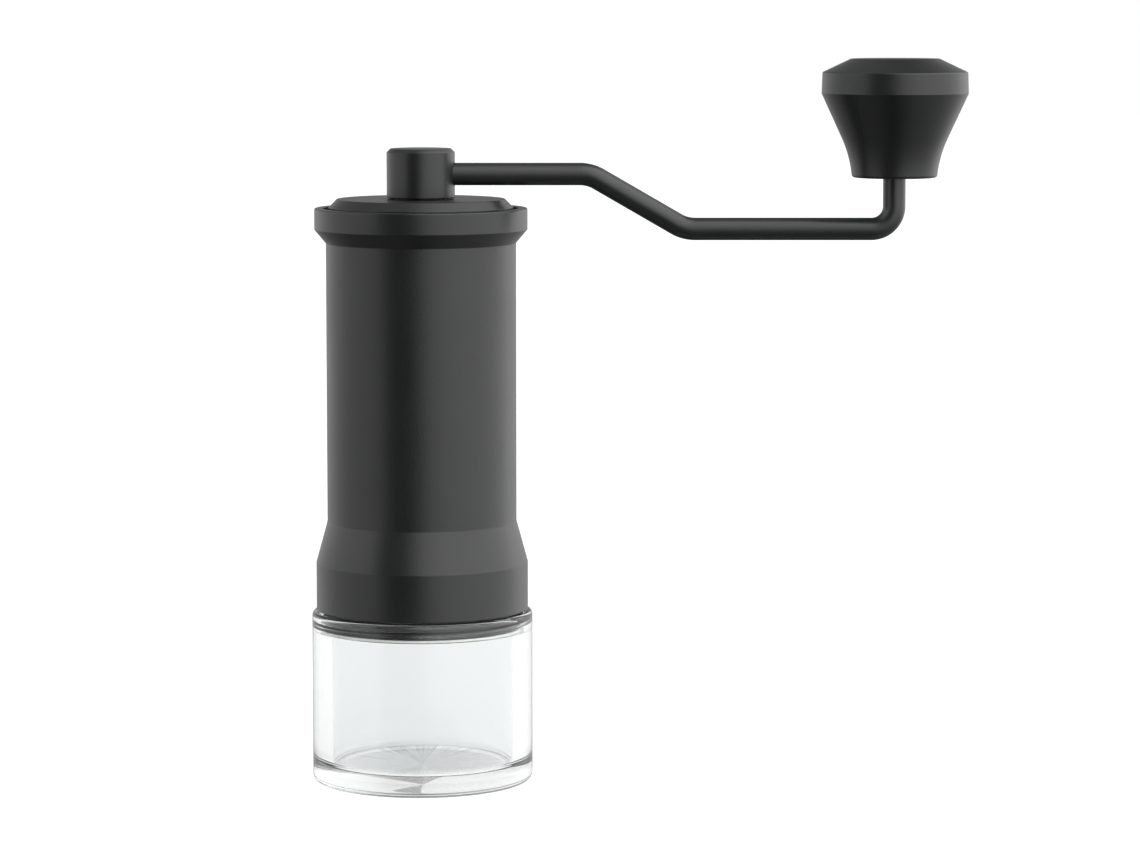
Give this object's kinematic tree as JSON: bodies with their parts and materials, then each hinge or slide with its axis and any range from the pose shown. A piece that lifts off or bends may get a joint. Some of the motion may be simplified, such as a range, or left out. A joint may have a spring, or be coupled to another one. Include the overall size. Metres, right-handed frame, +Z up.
{
  "type": "hand crank coffee grinder",
  "caption": "Manual coffee grinder: a metal tube that holds the burrs, a bent crank with a turned knob on its lid, and a clear screw-on jar under it.",
  "frame": {"origin": "centre of the jar's flat base", "axes": "+Z up along the grinder's axis, +X from that axis towards the knob, +Y to the back, where the hub's set screw is"},
  "size_m": [0.1751, 0.0592, 0.1936],
  "materials": {
    "black_aluminium": "fine matte black anodised",
    "black_steel": "matte black coated rod",
    "black_plastic": "fine matte moulded",
    "clear_plastic": "clear polished",
    "burr_steel": "ground tool steel",
    "bare_aluminium": "bead-blasted",
    "stainless": "turned stainless steel",
    "bearing_steel": "polished",
    "spring_steel": "dark oiled spring steel",
    "brass": "satin",
    "white_acetal": "satin moulded",
    "silicone": "translucent white, matte"
  },
  "bodies": {
    "body": {"body_shell": "black_aluminium", "skirt_ring": "black_plastic", "burr_carrier": "bare_aluminium", "ring_burr": "burr_steel", "burr_retainer": "stainless", "retainer_screws": "stainless", "bearing_bridge": "bare_aluminium", "bridge_snap_ring": "spring_steel", "upper_bearing_outer": "bearing_steel", "upper_bearing_shields": "bearing_steel", "lower_bearing_outer": "bearing_steel", "lower_bearing_shields": "bearing_steel"},
    "upper_balls": {"upper_bearing_balls": "bearing_steel", "upper_bearing_cage": "brass"},
    "lower_balls": {"lower_bearing_balls": "bearing_steel", "lower_bearing_cage": "brass"},
    "shaft": {"drive_shaft": "stainless", "upper_bearing_inner": "bearing_steel", "lower_bearing_inner": "bearing_steel", "shaft_clips": "spring_steel", "dial_stop_clip": "spring_steel", "spring_washer": "stainless", "burr_spring": "spring_steel"},
    "burr": {"cone_burr": "burr_steel", "click_carrier": "brass", "click_springs": "spring_steel"},
    "click_stops": {"click_balls": "bearing_steel"},
    "dial": {"grind_dial": "black_aluminium"},
    "lid": {"lid_cap": "black_aluminium", "lid_base": "black_plastic", "lid_o_ring": "silicone", "lid_bush": "white_acetal"},
    "crank": {"crank_hub": "black_aluminium", "hub_set_screw": "spring_steel", "hub_clip": "spring_steel", "crank_arm": "black_steel", "knob_screw": "stainless", "knob_washer": "stainless"},
    "knob": {"knob_body": "black_aluminium", "knob_cap": "black_aluminium", "knob_lower_bush": "white_acetal", "knob_upper_bush": "white_acetal"},
    "seal": {"jar_seal": "silicone"},
    "jar": {"jar": "clear_plastic"}
  },
  "joints": [
    {"name": "lid_lift", "type": "slide", "parent": "body", "child": "lid", "axis": [0, 0, 1], "range_m": [0, 0.03]},
    {"name": "crank_turn", "type": "hinge", "parent": "lid", "child": "crank", "pos_m": [0, 0, 0.163], "axis": [0, 0, 1], "continuous": true},
    {"name": "knob_spin", "type": "hinge", "parent": "crank", "child": "knob", "pos_m": [0.126, 0, 0.175], "axis": [0, 0, 1], "continuous": true},
    {"name": "shaft_spin", "type": "hinge", "parent": "body", "child": "shaft", "pos_m": [0, 0, 0.1], "axis": [0, 0, 1], "continuous": true},
    {"name": "upper_balls_spin", "type": "hinge", "parent": "body", "child": "upper_balls", "pos_m": [0, 0, 0.1395], "axis": [0, 0, 1], "continuous": true},
    {"name": "lower_balls_spin", "type": "hinge", "parent": "body", "child": "lower_balls", "pos_m": [0, 0, 0.0945], "axis": [0, 0, 1], "continuous": true},
    {"name": "burr_shift", "type": "slide", "parent": "shaft", "child": "burr", "axis": [0, 0, 1], "range_m": [-0.00058, 0.00042], "deforming": ["burr_spring"]},
    {"name": "dial_turn", "type": "hinge", "parent": "burr", "child": "dial", "pos_m": [0, 0, 0.048], "axis": [0, 0, 1], "range_deg": [-211, 151]},
    {"name": "click_stop_press", "type": "slide", "parent": "burr", "child": "click_stops", "axis": [0, 0, 1], "range_m": [-0.00015, 0.0003], "stiffness_N_per_m": 500, "springref_m": -0.002, "deforming": ["click_springs"]},
    {"name": "jar_travel", "type": "slide", "parent": "body", "child": "seal", "axis": [0, 0, 1], "range_m": [-0.0048, 0]},
    {"name": "jar_turn", "type": "hinge", "parent": "seal", "child": "jar", "pos_m": [0, 0, 0.02], "axis": [0, 0, 1], "range_deg": [-720, 0]}
  ],
  "couplings": [
    {"joint": "shaft_spin", "follows": "crank_turn", "ratio": 1},
    {"joint": "upper_balls_spin", "follows": "crank_turn", "ratio": 0.405},
    {"joint": "lower_balls_spin", "follows": "crank_turn", "ratio": 0.405},
    {"joint": "dial_turn", "follows": "burr_shift", "rad_per_m": 6283.2},
    {"joint": "jar_travel", "follows": "jar_turn", "m_per_rad": 0.00038197}
  ]
}
